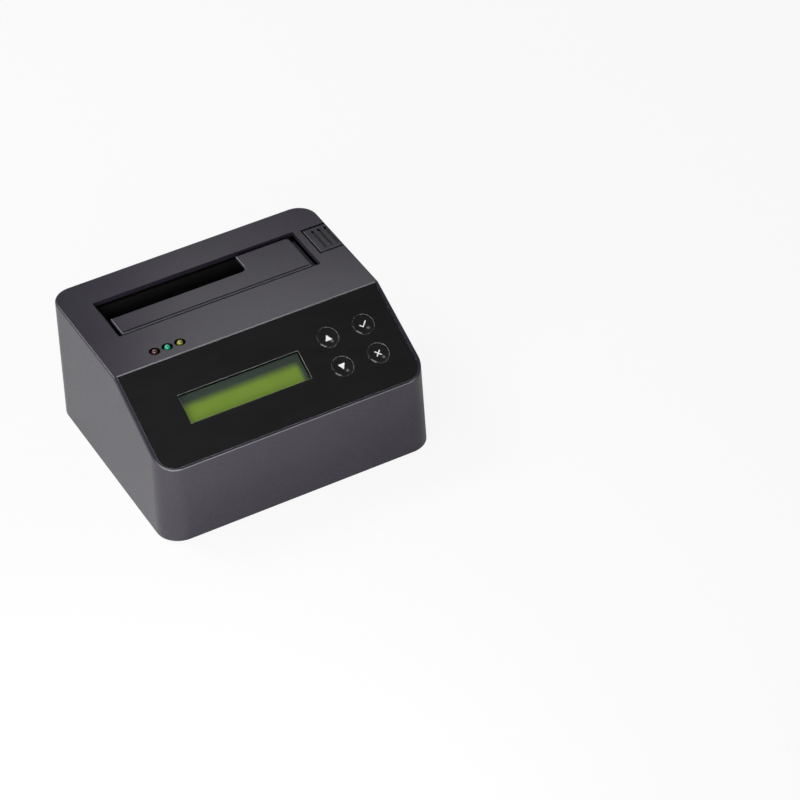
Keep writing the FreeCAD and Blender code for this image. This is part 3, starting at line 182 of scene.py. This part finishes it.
class Shader:
    """A material under construction: a principled shader and the nodes that feed it."""

    def __init__(self, name, **values):
        self.material = bpy.data.materials.new(name)
        self.material.use_nodes = True
        self.tree = self.material.node_tree
        self.bsdf = self.tree.nodes["Principled BSDF"]
        spots = self.tree.nodes.new("ShaderNodeTexCoord").outputs
        self.place, self.whole, self.facing = spots["Object"], spots["Generated"], spots["Normal"]
        self.set(**values)

    def set(self, **values):
        """Sets plain values on the principled shader."""
        for name, value in values.items():
            self.bsdf.inputs[name.replace("_", " ")].default_value = value

    def feed(self, name, output):
        """Links an output to an input of the principled shader."""
        self.tree.links.new(output, self.bsdf.inputs[name])

    def give(self, socket, value):
        """Links an output to any socket, or sets a plain value on it."""
        if isinstance(value, bpy.types.NodeSocket):
            self.tree.links.new(value, socket)
        else:
            socket.default_value = value

    def add(self, kind, **inputs):
        """New node with its inputs linked or set by name."""
        made = self.tree.nodes.new("ShaderNode" + kind)
        for name, value in inputs.items():
            self.give(made.inputs[name.replace("_", " ")], value)
        return made

    def calculate(self, kind, operation, first, second):
        """Number that a mathematical node gives for two inputs."""
        made = self.add(kind)
        made.operation = operation
        for socket, value in zip(made.inputs, (first, second)):
            self.give(socket, value)
        return made.outputs["Value"]

    def stretched(self, factors):
        """Object coordinates scaled along each axis."""
        return self.add("Mapping", Vector=self.place, Scale=factors).outputs["Vector"]

    def noise(self, size, detail=3.0, rough=0.5, vector=None):
        """Cloudy pattern whose features are about size millimetres wide."""
        made = self.add("TexNoise", Vector=vector or self.place, Scale=1 / (size * MM), Detail=detail,
                        Roughness=rough)
        return made.outputs["Fac"]

    def bricks(self, size, gap, first, second, mortar, **values):
        """Cells about size millimetres wide in two colours, with lines of a third between them."""
        return self.add("TexBrick", Vector=self.place, Scale=1 / (size * MM), Mortar_Size=gap, Color1=first,
                        Color2=second, Mortar=mortar, **values)

    def ramp(self, factor, low, high, start=0.3, end=0.7):
        """Colour that goes from low to high as the factor goes from start to end."""
        made = self.add("ValToRGB", Fac=factor)
        for stop, (position, colour) in zip(made.color_ramp.elements, ((start, low), (end, high))):
            stop.position = position
            stop.color = colour
        return made.outputs["Color"]

    def range(self, factor, low, high, start=0.3, end=0.7):
        """Number that goes from low to high as the factor goes from start to end."""
        made = self.add("MapRange", Value=factor, From_Min=start, From_Max=end, To_Min=low, To_Max=high)
        return made.outputs["Result"]

    def leaning(self, direction, stops):
        """Share by how far a face looks a given way: stops pair the cosine of its lean with the share."""
        lean = self.calculate("VectorMath", "DOT_PRODUCT", self.facing, direction)
        made = self.add("ValToRGB", Fac=lean)
        elements = made.color_ramp.elements
        while len(elements) < len(stops):
            elements.new(1.0)
        for element, (position, share) in zip(elements, stops):
            element.position = position
            element.color = (share, share, share, 1)
        return made.outputs["Color"]

    def mix(self, kind, factor, first, second):
        """Colour mixed from two others in one of the ways that pictures are laid over each other."""
        made = self.add("Mix")
        made.data_type = "RGBA"
        made.blend_type = kind
        colours = [socket for socket in made.inputs if socket.type == "RGBA"]
        for socket, value in ((made.inputs[0], factor), (colours[0], first), (colours[1], second)):
            self.give(socket, value)
        return next(socket for socket in made.outputs if socket.type == "RGBA")

    def bump(self, height, depth, strength=1.0):
        """Relief about depth millimetres deep."""
        made = self.add("Bump", Height=height, Strength=strength, Distance=depth * MM)
        self.feed("Normal", made.outputs["Normal"])

    def show(self, share, first, second):
        """Surface that goes from the first shader to the second as the share goes from 0 to 1."""
        mixed = self.add("MixShader")
        for socket, value in zip(mixed.inputs, (share, first, second)):
            self.give(socket, value)
        self.tree.links.new(mixed.outputs["Shader"], self.tree.nodes["Material Output"].inputs["Surface"])


def moulded(name, low, high, grain, depth, roughness, edge=None, **values):
    """Textured plastic: mottle, grain, uneven sheen, painted crevice shade and, if given, painted edge
    highlights.
    """
    shader = Shader(name, **values)
    cloud = shader.noise(MOTTLE, detail=2)
    speck = shader.noise(grain, detail=2)
    base = shader.ramp(cloud, low, high)
    flecks = shader.ramp(speck, srgb(238, 238, 238), WHITE)
    # Painted shade: the colour darkens in crevices and gaps, where little light reaches
    nooks = shader.add("AmbientOcclusion", Distance=PAINTED_SHADE_REACH * MM).outputs["AO"]
    shade = shader.ramp(nooks, srgb(20, 20, 20), WHITE, *PAINTED_SHADE_SHARES)
    colour = shader.mix("MULTIPLY", 1.0, shader.mix("MULTIPLY", 1.0, base, flecks), shade)
    # Painted highlight: edges that face the given way take the paler colour
    if edge:
        pale, way, stops = edge
        colour = shader.mix("MIX", shader.leaning(way, stops), colour, pale)
    shader.feed("Base Color", colour)
    shader.feed("Roughness", shader.range(speck, roughness - 0.05, roughness + 0.06))
    shader.bump(speck, depth)
    return shader.material


def glossy(name, low, high, roughness, edge=None, **values):
    """Polished plastic with faint wiping marks, a trace of dust and, if given a colour, painted highlights on
    its edges.
    """
    shader = Shader(name, **values)
    wipes = shader.noise(WIPE, detail=4, vector=shader.stretched((0.25, 1, 1)))
    dust = shader.noise(DUST, detail=1)
    base = shader.ramp(wipes, low, high)
    colour = shader.mix("MIX", shader.range(dust, 0.0, 0.04, 0.66, 0.8), base, srgb(120, 120, 122))
    # Painted highlight: edges facing out of the panel, as round the key holes and the window, take the paler
    # colour
    if edge:
        colour = shader.mix("MIX", shader.leaning(OUTWARD, PANEL_HIGHLIGHT_LEAN), colour, edge)
    shader.feed("Base Color", colour)
    shader.feed("Roughness", shader.range(wipes, roughness * 0.9, roughness * 1.25))
    shader.bump(shader.noise(WAVES, detail=1), 0.01, 0.3)
    return shader.material


def metal(name, low, high, roughness, grain, stretch=(1, 1, 1), **values):
    """Plated or drawn metal with fine lines or grains."""
    shader = Shader(name, Metallic=1.0, **values)
    lines = shader.noise(grain, detail=4, vector=shader.stretched(stretch))
    stains = shader.noise(STAIN, detail=3)
    shader.feed("Base Color", shader.ramp(stains, low, high))
    shader.feed("Roughness", shader.range(lines, roughness * 0.75, roughness * 1.4))
    shader.bump(lines, 0.006, 0.6)
    return shader.material


def lamp_plastic(name, low, high, glow):
    """Tinted lamp body with depth in its colour and a weak glow of its own."""
    shader = Shader(name, Roughness=0.16, Coat_Weight=0.6, Subsurface_Weight=0.25, Subsurface_Scale=0.8 * MM,
                    Emission_Strength=glow)
    colour = shader.ramp(shader.noise(LAMP_CLOUD, detail=2), low, high)
    shader.feed("Base Color", colour)
    shader.feed("Emission Color", colour)
    shader.bump(shader.noise(LAMP_GRAIN, detail=1), 0.01, 0.4)
    return shader.material


def display_face():
    """Yellow-green display with a faint grid of dots, a painted shadow at its top and right, and a glow that
    also lifts its shade.
    """
    # The glow stands for a backlight and, as painted light, lifts the shade inside the window's recess
    shader = Shader("display", Roughness=0.32, Specular_IOR_Level=0.4, Emission_Strength=DISPLAY_GLOW)
    cloud = shader.noise(DISPLAY_CLOUD, detail=1)
    base = shader.ramp(cloud, srgb(114, 134, 57), srgb(120, 140, 60))
    spread = shader.add("SeparateXYZ", Vector=shader.whole).outputs
    # Painted shadow: darker towards the right and top edges, where the window's rim shades the display
    for way, limits in DISPLAY_PAINTED_SHADOW.items():
        base = shader.mix("MIX", shader.range(spread[way], 0.0, 1.0, *limits), base, srgb(62, 67, 67))
    cells = shader.bricks(DISPLAY_DOT, 0.06, srgb(252, 252, 252), WHITE, srgb(240, 242, 236), Brick_Width=1.0,
                          Row_Height=1.0)
    cells.offset = 0.0
    face = shader.mix("MULTIPLY", 1.0, base, cells.outputs["Color"])
    shader.feed("Base Color", face)
    shader.feed("Emission Color", face)
    shader.bump(cloud, 0.02, 0.2)
    return shader.material


def clear_lens():
    """Thin clear sheet: mostly see-through, with a reflection that grows at a slant."""
    shader = Shader("clear_lens", Base_Color=srgb(20, 22, 21))
    shader.feed("Roughness", shader.range(shader.noise(SMEAR, detail=3), 0.05, 0.12))
    through = shader.add("BsdfTransparent", Color=srgb(244, 248, 242)).outputs["BSDF"]
    slant = shader.add("LayerWeight", Blend=0.5).outputs["Facing"]
    steep = shader.calculate("Math", "POWER", slant, LENS_POWER)
    gloss = shader.range(steep, LENS_HEAD_ON, 1.0, 0.0, 1.0)
    shader.show(gloss, through, shader.bsdf.outputs["BSDF"])
    return shader.material


def circuit_board():
    """Solder mask with tracks under it and a slightly uneven gloss."""
    shader = Shader("circuit_board", Specular_IOR_Level=0.5)
    tracks = shader.bricks(TRACK, 0.12, srgb(24, 92, 48), srgb(28, 102, 54), srgb(38, 122, 66))
    cloud = shader.ramp(shader.noise(BOARD_CLOUD, detail=3), srgb(222, 226, 222), WHITE)
    shader.feed("Base Color", shader.mix("MULTIPLY", 1.0, tracks.outputs["Color"], cloud))
    shader.feed("Roughness", shader.range(shader.noise(BOARD_GRAIN), 0.28, 0.42))
    shader.bump(tracks.outputs["Fac"], 0.03, 0.5)
    return shader.material


def flat_cable():
    """Ribbon of parallel wires in grey insulation."""
    shader = Shader("ribbon")
    wave = shader.add("TexWave", Vector=shader.place, Scale=1 / (RIBBON_WIRE * MM), Distortion=0.0)
    wave.bands_direction = "X"
    wires = wave.outputs["Fac"]
    shader.feed("Base Color", shader.ramp(wires, srgb(122, 122, 128), srgb(182, 182, 188), 0.1, 0.6))
    shader.feed("Roughness", shader.range(shader.noise(RIBBON_GRAIN), 0.42, 0.6))
    shader.bump(wires, 0.15, 0.6)
    return shader.material


def print_ink():
    """White ink, slightly thin in places."""
    shader = Shader("print_white", Roughness=0.5)
    thin = shader.noise(INK_GRAIN, detail=3)
    shader.feed("Base Color", shader.ramp(thin, srgb(226, 226, 224), srgb(246, 246, 244)))
    shader.bump(thin, 0.01, 0.5)
    return shader.material


# Painted edge highlights: the pale colour given with a way for housing, flap and button, and the panel's last
# colour
MATERIALS = {
    "housing_plastic": moulded("housing_plastic", srgb(37, 33, 44), srgb(42, 38, 49), 0.35, 0.014, 0.3,
                               (srgb(122, 121, 126), FRONT_EDGE, CORNER_HIGHLIGHT_LEAN), Specular_IOR_Level=0.8),
    "flap_plastic": moulded("flap_plastic", srgb(37, 33, 44), srgb(42, 38, 49), 0.3, 0.014, 0.3,
                            (srgb(112, 111, 116), UPWARD, RIM_HIGHLIGHT_LEAN), Specular_IOR_Level=0.8),
    "button_plastic": moulded("button_plastic", srgb(33, 30, 39), srgb(39, 36, 45), 0.5, 0.035, 0.34,
                              (srgb(62, 61, 66), UPWARD, RIM_HIGHLIGHT_LEAN), Specular_IOR_Level=0.6),
    "panel_gloss": glossy("panel_gloss", srgb(20, 19, 20), srgb(24, 23, 24), 0.1, srgb(190, 190, 192)),
    "key_plastic": glossy("key_plastic", srgb(22, 21, 22), srgb(26, 25, 26), 0.08),
    "clear_lens": clear_lens(),
    "display": display_face(),
    "backlight": moulded("backlight", srgb(222, 226, 200), srgb(232, 236, 212), 0.5, 0.01, 0.5,
                         Subsurface_Weight=0.2),
    "lamp_red": lamp_plastic("lamp_red", srgb(66, 34, 34), srgb(86, 46, 46), 0.02),
    "lamp_green": lamp_plastic("lamp_green", srgb(8, 124, 92), srgb(20, 150, 114), 0.14),
    "lamp_yellow": lamp_plastic("lamp_yellow", srgb(122, 114, 34), srgb(146, 138, 48), 0.05),
    "inner_plastic": moulded("inner_plastic", srgb(17, 17, 19), srgb(22, 22, 24), 0.4, 0.02, 0.55,
                             Specular_IOR_Level=0.35),
    "connector_plastic": moulded("connector_plastic", srgb(26, 26, 28), srgb(33, 33, 35), 0.3, 0.012, 0.4),
    "socket_blue": moulded("socket_blue", srgb(30, 82, 168), srgb(38, 94, 182), 0.3, 0.01, 0.38),
    "circuit_board": circuit_board(),
    "steel": metal("steel", srgb(178, 180, 184), srgb(206, 208, 212), 0.3, 0.25, (1, 1, 0.2)),
    "bright_metal": metal("bright_metal", srgb(206, 206, 208), srgb(224, 224, 226), 0.2, 0.3, (0.15, 1, 1)),
    "frame_metal": moulded("frame_metal", srgb(28, 28, 30), srgb(36, 36, 38), 0.25, 0.008, 0.36,
                           Metallic=0.3),
    "can_metal": metal("can_metal", srgb(196, 198, 202), srgb(216, 218, 222), 0.32, 0.2, (1, 1, 0.1)),
    "contact_gold": metal("contact_gold", srgb(222, 180, 88), srgb(240, 204, 116), 0.25, 0.2),
    "ribbon": flat_cable(),
    "foot_rubber": moulded("foot_rubber", srgb(24, 24, 25), srgb(34, 34, 35), 0.6, 0.05, 0.8),
}
PRINT = print_ink()


def dress_nodes():
    """Gives each node the material of its slot."""
    for node in nodes.values():
        for slot in node.material_slots:
            slot.material = MATERIALS[slot.material.name.split(".")[0]]


def break_edges():
    """Rounds the sharp edges of the polished panel, so that they catch the light."""
    for name, width in EDGE_BREAKS.items():
        nodes[name].modifiers.new("joined_faces", "WELD").merge_threshold = WELD_REACH * MM
        bevel = nodes[name].modifiers.new("edge_break", "BEVEL")
        bevel.width = width * MM
        bevel.segments = BREAK_STEPS
        bevel.limit_method = "ANGLE"
        bevel.angle_limit = BREAK_ANGLE
        nodes[name].modifiers.new("even_shading", "WEIGHTED_NORMAL").keep_sharp = True


def stroke(points):
    """Outline pieces of a line of even width through the points, one four-sided piece for each step."""
    pieces = []
    for start, end in zip(points, points[1:]):
        a, b = Vector(start), Vector(end)
        along = (b - a).normalized()
        side = Vector((-along.y, along.x)) * STROKE_HALF
        a = a - along * STROKE_HALF
        b = b + along * STROKE_HALF
        pieces.append([a - side, b - side, b + side, a + side])
    return pieces


def sign_shapes():
    """Outlines of each key's sign, in millimetres across and up the key's face."""
    half, tall = ARROW_HALF, ARROW_HEIGHT / 2
    reach = CROSS_REACH
    return {
        "key_up": [[(-half, -tall), (half, -tall), (0, tall)]],
        "key_down": [[(-half, tall), (0, -tall), (half, tall)]],
        "key_ok": stroke(TICK),
        "key_escape": stroke([(-reach, -reach), (reach, reach)]) + stroke([(-reach, reach), (reach, -reach)]),
    }


def print_on_key(node_name, outlines, press):
    """Thin printed sign that follows the hollow of the key's face."""
    node = nodes[node_name]
    inward = Vector(press["axis"]).normalized()
    across = Vector((1, 0, 0))
    upward = inward.cross(across) * -1
    reach = max(-vertex.co.dot(inward) for vertex in node.data.vertices)
    rim = [v.co for v in node.data.vertices if -v.co.dot(inward) > reach - PRINT_DEPTH * MM]
    low = Vector(map(min, zip(*rim)))
    high = Vector(map(max, zip(*rim)))
    middle = (low + high) / 2
    face = BVHTree.FromObject(node, bpy.context.evaluated_depsgraph_get())
    mesh = bmesh.new()
    for outline in outlines:
        corners = [mesh.verts.new((x, y, 0)) for x, y in outline]
        mesh.faces.new(corners)
    bmesh.ops.triangulate(mesh, faces=mesh.faces[:])
    bmesh.ops.subdivide_edges(mesh, edges=mesh.edges[:], cuts=PRINT_CUTS, use_grid_fill=True)
    for vertex in mesh.verts:
        spot = middle + across * vertex.co.x * MM + upward * vertex.co.y * MM
        hit = face.ray_cast(spot - inward * PRINT_START * MM, inward)[0]
        vertex.co = hit - inward * PRINT_LIFT * MM
    raised = bmesh.ops.extrude_face_region(mesh, geom=mesh.faces[:])
    for item in raised["geom"]:
        if isinstance(item, bmesh.types.BMVert):
            item.co += inward * PRINT_DEPTH * MM
    bmesh.ops.recalc_face_normals(mesh, faces=mesh.faces[:])
    data = bpy.data.meshes.new(node_name + "_sign")
    mesh.to_mesh(data)
    mesh.free()
    sign = bpy.data.objects.new(node_name + "_sign", data)
    scene.collection.objects.link(sign)
    data.materials.append(PRINT)
    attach(sign, press["child"])


def add_signs():
    """Prints the four keys' signs."""
    presses = {joint["child"]: joint for joint in frame["joints"]}
    members_of = frame["record"]["behaviour"]["bodies"]
    body_of = {name: body for body, members in members_of.items() for name in members}
    for node_name, outlines in sign_shapes().items():
        print_on_key(node_name, outlines, presses[body_of[node_name]])


def loose_spring(node):
    """Copy of a spring that may change its shape."""
    coil = bpy.data.objects.new(node.name + "_coil", node.data.copy())
    scene.collection.objects.link(coil)
    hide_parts(node.name)
    return coil


def add_springs():
    """Loose copies of the springs that deform with a joint: a pressed one rides on the joint's parent with
    its own mesh, a twisted one stays in place.
    """
    for joint in frame["record"]["behaviour"]["joints"]:
        for spring in joint.get("deforming_nodes", []):
            coil = loose_spring(nodes[spring["node"]])
            if spring["mode"] == "twist":
                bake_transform(coil)
            else:
                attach(coil, joint["parent"])
                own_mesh(coil)


def add_camera():
    """Camera at the photograph's viewing angle."""
    back = Vector((
        math.sin(AZIMUTH) * math.cos(ELEVATION),
        -math.cos(AZIMUTH) * math.cos(ELEVATION),
        math.sin(ELEVATION),
    ))
    level = UPWARD.cross(back).normalized()
    upright = back.cross(level)
    right = level * math.cos(ROLL) + upright * math.sin(ROLL)
    up = upright * math.cos(ROLL) - level * math.sin(ROLL)
    distance = FOCAL_PIXELS / PIXELS_PER_METRE
    centre = IMAGE_SIDE / 2
    aside = (ORIGIN_PIXEL[0] - centre) / PIXELS_PER_METRE
    below = (ORIGIN_PIXEL[1] - centre) / PIXELS_PER_METRE
    data = bpy.data.cameras.new("camera")
    data.sensor_width = SENSOR
    data.lens = FOCAL_PIXELS / IMAGE_SIDE * SENSOR
    camera = bpy.data.objects.new("camera", data)
    axes = Matrix((right, up, back)).transposed().to_4x4()
    place = back * distance - right * aside + up * below
    camera.matrix_world = Matrix.Translation(place) @ axes
    scene.collection.objects.link(camera)
    scene.camera = camera


def add_lamp(name, direction, distance, size, power, breadth=1.0):
    """Soft lamp that faces the object from a direction, breadth times as wide as it is tall."""
    data = bpy.data.lights.new(name, "AREA")
    data.shape = "RECTANGLE"
    data.size = size * breadth
    data.size_y = size
    data.energy = power
    lamp = bpy.data.objects.new(name, data)
    outward = Vector(direction).normalized()
    lamp.location = outward * distance
    lamp.rotation_mode = "QUATERNION"
    lamp.rotation_quaternion = outward.to_track_quat("Z", "Y")
    scene.collection.objects.link(lamp)


def add_floor():
    """Pale floor that keeps a faint shadow and shows nearly white to the camera."""
    corners = [(x * FLOOR_HALF, y * FLOOR_HALF, -FLOOR_DROP) for x, y in ((-1, -1), (1, -1), (1, 1), (-1, 1))]
    mesh = bpy.data.meshes.new("floor")
    mesh.from_pydata(corners, [], [(0, 1, 2, 3)])
    floor = bpy.data.objects.new("floor", mesh)
    scene.collection.objects.link(floor)
    shader = Shader("floor", Roughness=0.9, Specular_IOR_Level=0.0)
    cloud = shader.noise(FLOOR_CLOUD)
    shader.feed("Base Color", shader.ramp(cloud, srgb(208, 208, 208), srgb(212, 212, 212)))
    rays = shader.add("LightPath").outputs
    seen = 0.0
    for kind, part in FLOOR_GLOW.items():
        share = shader.calculate("Math", "MULTIPLY", rays[kind], part)
        seen = shader.calculate("Math", "MAXIMUM", seen, share)
    glow = shader.add("Emission", Color=WHITE, Strength=1.0).outputs["Emission"]
    shader.show(seen, shader.bsdf.outputs["BSDF"], glow)
    mesh.materials.append(shader.material)


def add_world():
    """Studio surroundings: white to the camera, pale near the horizon and dim overhead."""
    world = bpy.data.worlds.new("studio")
    scene.world = world
    world.use_nodes = True
    tree = world.node_tree
    light = tree.nodes["Background"]
    place = tree.nodes.new("ShaderNodeTexCoord")
    parts = tree.nodes.new("ShaderNodeSeparateXYZ")
    ramp = tree.nodes.new("ShaderNodeValToRGB")
    tree.links.new(place.outputs["Generated"], parts.inputs["Vector"])
    tree.links.new(parts.outputs["Z"], ramp.inputs["Fac"])
    tree.links.new(ramp.outputs["Color"], light.inputs["Color"])
    low, high = ramp.color_ramp.elements
    low.position, low.color = 0.0, HORIZON
    high.position, high.color = ZENITH_HEIGHT, ZENITH
    white = tree.nodes.new("ShaderNodeBackground")
    white.inputs["Color"].default_value = WHITE
    rays = tree.nodes.new("ShaderNodeLightPath")
    mixed = tree.nodes.new("ShaderNodeMixShader")
    tree.links.new(rays.outputs["Is Camera Ray"], mixed.inputs[0])
    tree.links.new(light.outputs["Background"], mixed.inputs[1])
    tree.links.new(white.outputs["Background"], mixed.inputs[2])
    tree.links.new(mixed.outputs["Shader"], tree.nodes["World Output"].inputs["Surface"])


dress_nodes()
add_signs()
add_springs()
break_edges()
add_camera()
add_floor()
add_world()
for lamp_name, lamp_values in LAMPS.items():
    add_lamp(lamp_name, **lamp_values)

scene.view_settings.view_transform = "Standard"
